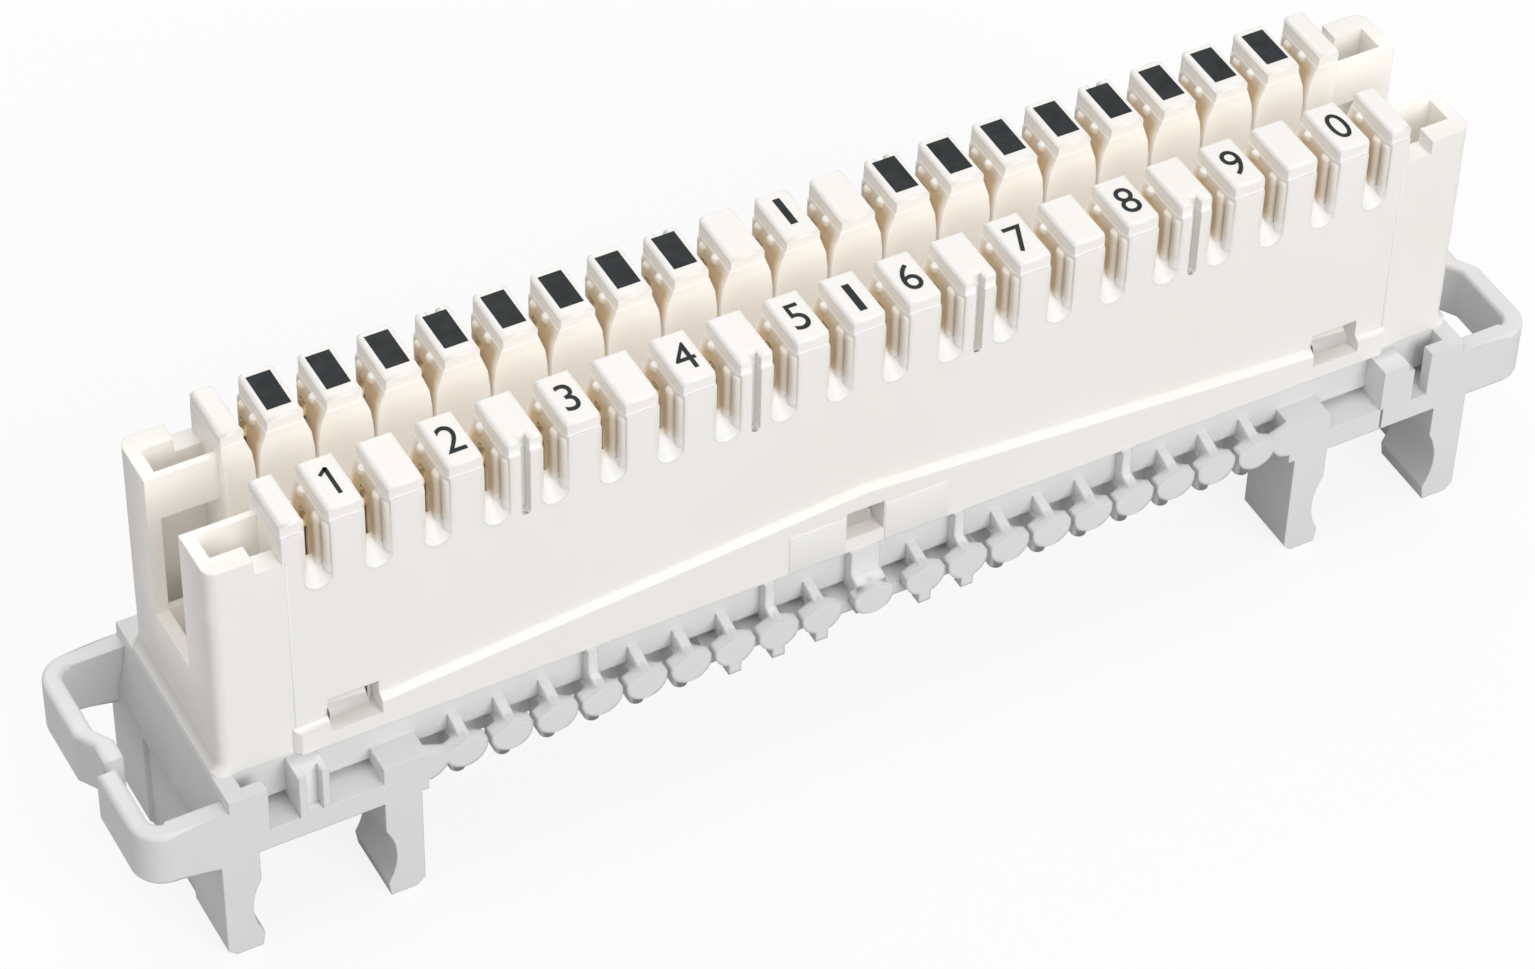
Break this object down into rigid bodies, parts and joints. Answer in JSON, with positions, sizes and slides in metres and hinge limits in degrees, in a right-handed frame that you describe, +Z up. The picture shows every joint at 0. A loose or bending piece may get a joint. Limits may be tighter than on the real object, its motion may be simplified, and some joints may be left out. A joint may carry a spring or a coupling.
{
  "type": "wire connection strip",
  "caption": "Plastic wire connection strip with two rows of slotted teeth over forked metal contacts, wire guides, cable loops and springy legs that clip onto two round rods.",
  "frame": {"origin": "under the middle of the strip, at the level of the feet of its clip legs", "axes": "+X along the strip, -Y towards the numbered row, +Z up out of the wire slots"},
  "size_m": [0.124, 0.021, 0.0408],
  "materials": {
    "white_plastic": "satin",
    "grey_plastic": "satin",
    "contact_metal": "silver-plated",
    "black_print": "matte"
  },
  "bodies": {
    "root": {"housing": "white_plastic", "base": "grey_plastic", "contact_front_01": "contact_metal", "contact_front_02": "contact_metal", "contact_front_03": "contact_metal", "contact_front_04": "contact_metal", "contact_front_05": "contact_metal", "contact_front_06": "contact_metal", "contact_front_07": "contact_metal", "contact_front_08": "contact_metal", "contact_front_09": "contact_metal", "contact_front_10": "contact_metal", "contact_front_11": "contact_metal", "contact_front_12": "contact_metal", "contact_front_13": "contact_metal", "contact_front_14": "contact_metal", "contact_front_15": "contact_metal", "contact_front_16": "contact_metal", "contact_front_17": "contact_metal", "contact_front_18": "contact_metal", "contact_front_19": "contact_metal", "contact_front_20": "contact_metal", "contact_rear_01": "contact_metal", "contact_rear_02": "contact_metal", "contact_rear_03": "contact_metal", "contact_rear_04": "contact_metal", "contact_rear_05": "contact_metal", "contact_rear_06": "contact_metal", "contact_rear_07": "contact_metal", "contact_rear_08": "contact_metal", "contact_rear_09": "contact_metal", "contact_rear_10": "contact_metal", "contact_rear_11": "contact_metal", "contact_rear_12": "contact_metal", "contact_rear_13": "contact_metal", "contact_rear_14": "contact_metal", "contact_rear_15": "contact_metal", "contact_rear_16": "contact_metal", "contact_rear_17": "contact_metal", "contact_rear_18": "contact_metal", "contact_rear_19": "contact_metal", "contact_rear_20": "contact_metal"}
  },
  "joints": []
}
